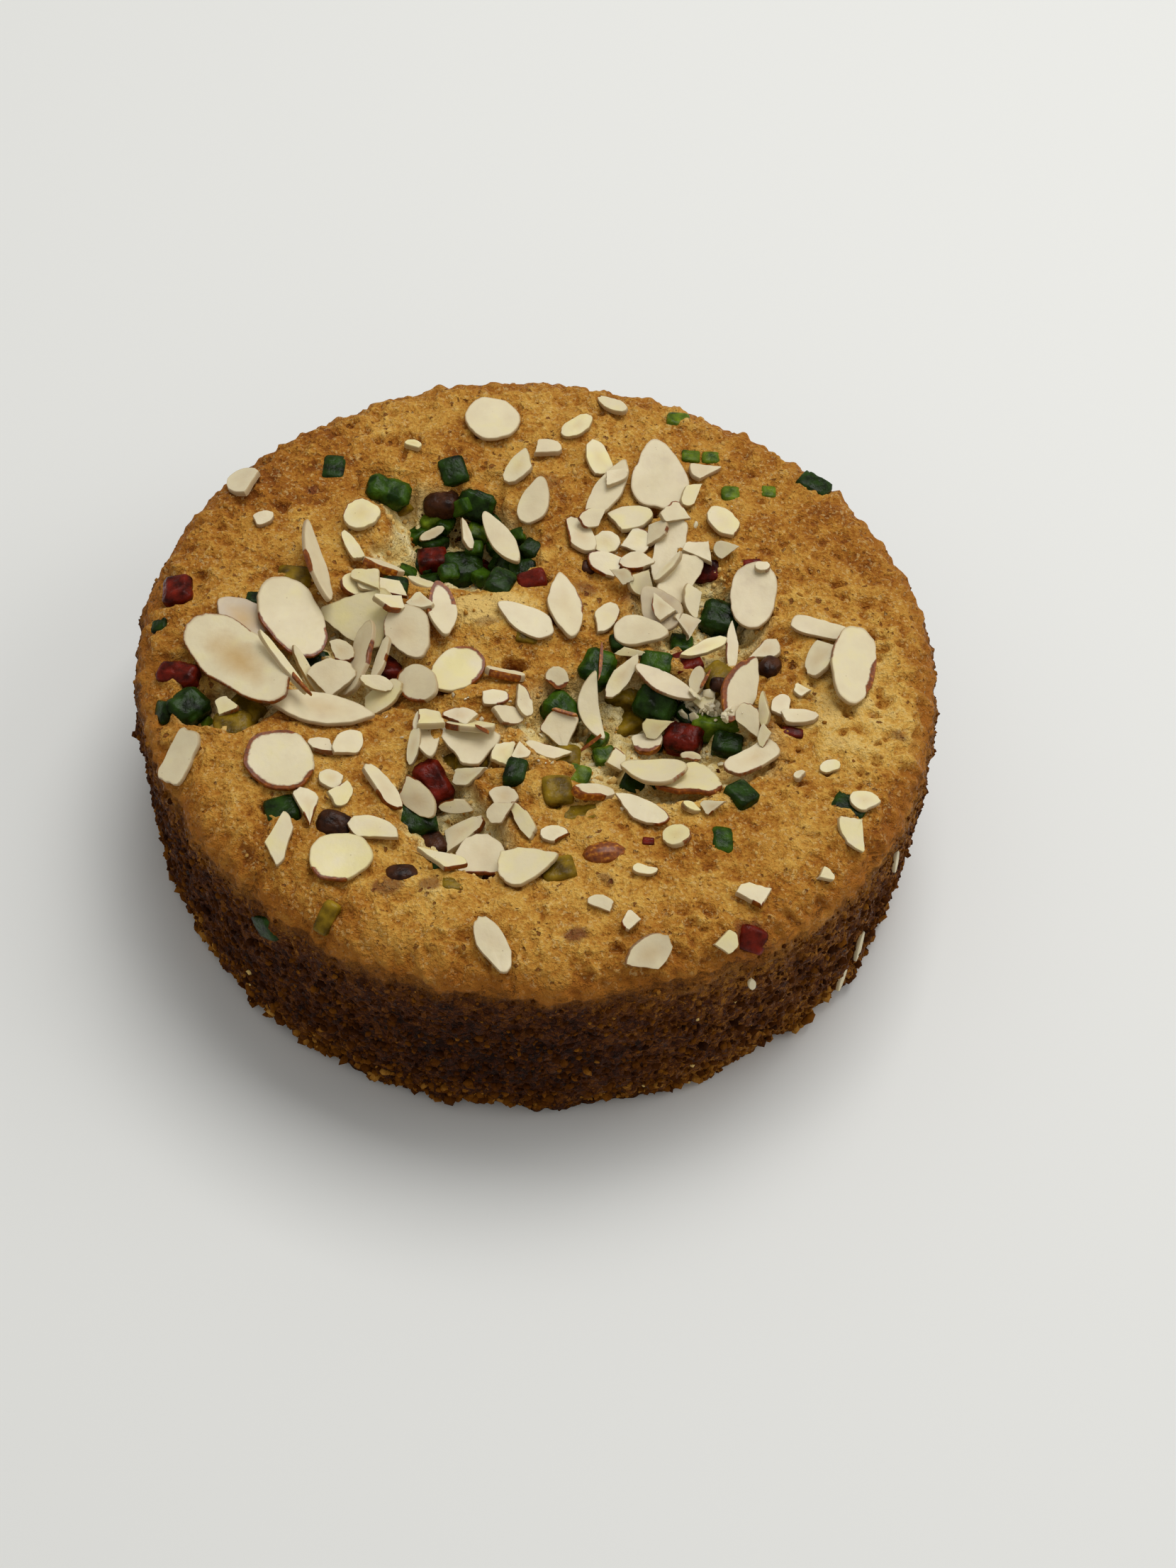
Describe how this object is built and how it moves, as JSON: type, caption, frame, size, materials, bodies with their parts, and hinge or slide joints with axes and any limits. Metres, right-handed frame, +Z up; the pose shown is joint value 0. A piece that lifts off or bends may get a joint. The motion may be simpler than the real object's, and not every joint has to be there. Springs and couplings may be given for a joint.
{
  "type": "tea cake",
  "caption": "Whole round tea cake baked in a plain tin, its sunken golden top strewn with flaked almonds and candied fruit. It lies on its flat foot.",
  "frame": {"origin": "middle of the cake's bounding box at the level of its flat foot", "axes": "+Z up through the top crust; -Y towards the side seen from the front, +X to its right"},
  "size_m": [0.1508, 0.1508, 0.0498],
  "materials": {
    "baked_crust": "matte baked cake crust, golden on top and dark brown and grainy down the side",
    "flaked_almond": "satin ivory almond, reddish-brown skin at some edges",
    "candied_green": "glossy, translucent dark green candied fruit",
    "candied_red": "glossy, translucent maroon candied fruit",
    "candied_amber": "glossy, translucent olive-yellow candied fruit",
    "raisin": "wrinkled dark brown dried fruit"
  },
  "bodies": {
    "root": {"cake": "baked_crust", "almond_flake_01": "flaked_almond", "almond_flake_02": "flaked_almond", "almond_flake_03": "flaked_almond", "almond_flake_04": "flaked_almond", "almond_flake_05": "flaked_almond", "almond_flake_06": "flaked_almond", "almond_flake_07": "flaked_almond", "almond_flake_08": "flaked_almond", "almond_flake_09": "flaked_almond", "almond_flake_10": "flaked_almond", "almond_flake_11": "flaked_almond", "almond_flake_12": "flaked_almond", "almond_flake_13": "flaked_almond", "almond_flake_14": "flaked_almond", "almond_flake_15": "flaked_almond", "almond_flake_16": "flaked_almond", "almond_flake_17": "flaked_almond", "almond_flake_18": "flaked_almond", "almond_flake_19": "flaked_almond", "almond_flake_20": "flaked_almond", "almond_flake_21": "flaked_almond", "almond_flake_22": "flaked_almond", "almond_flake_23": "flaked_almond", "almond_flake_24": "flaked_almond", "almond_flake_25": "flaked_almond", "almond_flake_26": "flaked_almond", "almond_flake_27": "flaked_almond", "almond_flake_28": "flaked_almond", "almond_flake_29": "flaked_almond", "almond_flake_30": "flaked_almond", "almond_flake_31": "flaked_almond", "almond_flake_32": "flaked_almond", "almond_flake_33": "flaked_almond", "almond_flake_34": "flaked_almond", "almond_flake_35": "flaked_almond", "almond_flake_36": "flaked_almond", "almond_flake_37": "flaked_almond", "candied_green_01": "candied_green", "candied_green_02": "candied_green", "candied_green_03": "candied_green", "candied_green_04": "candied_green", "candied_green_05": "candied_green", "candied_green_06": "candied_green", "candied_green_07": "candied_green", "candied_green_08": "candied_green", "candied_green_09": "candied_green", "candied_red_10": "candied_red", "candied_red_11": "candied_red", "candied_red_12": "candied_red", "candied_red_13": "candied_red"}
  },
  "joints": []
}
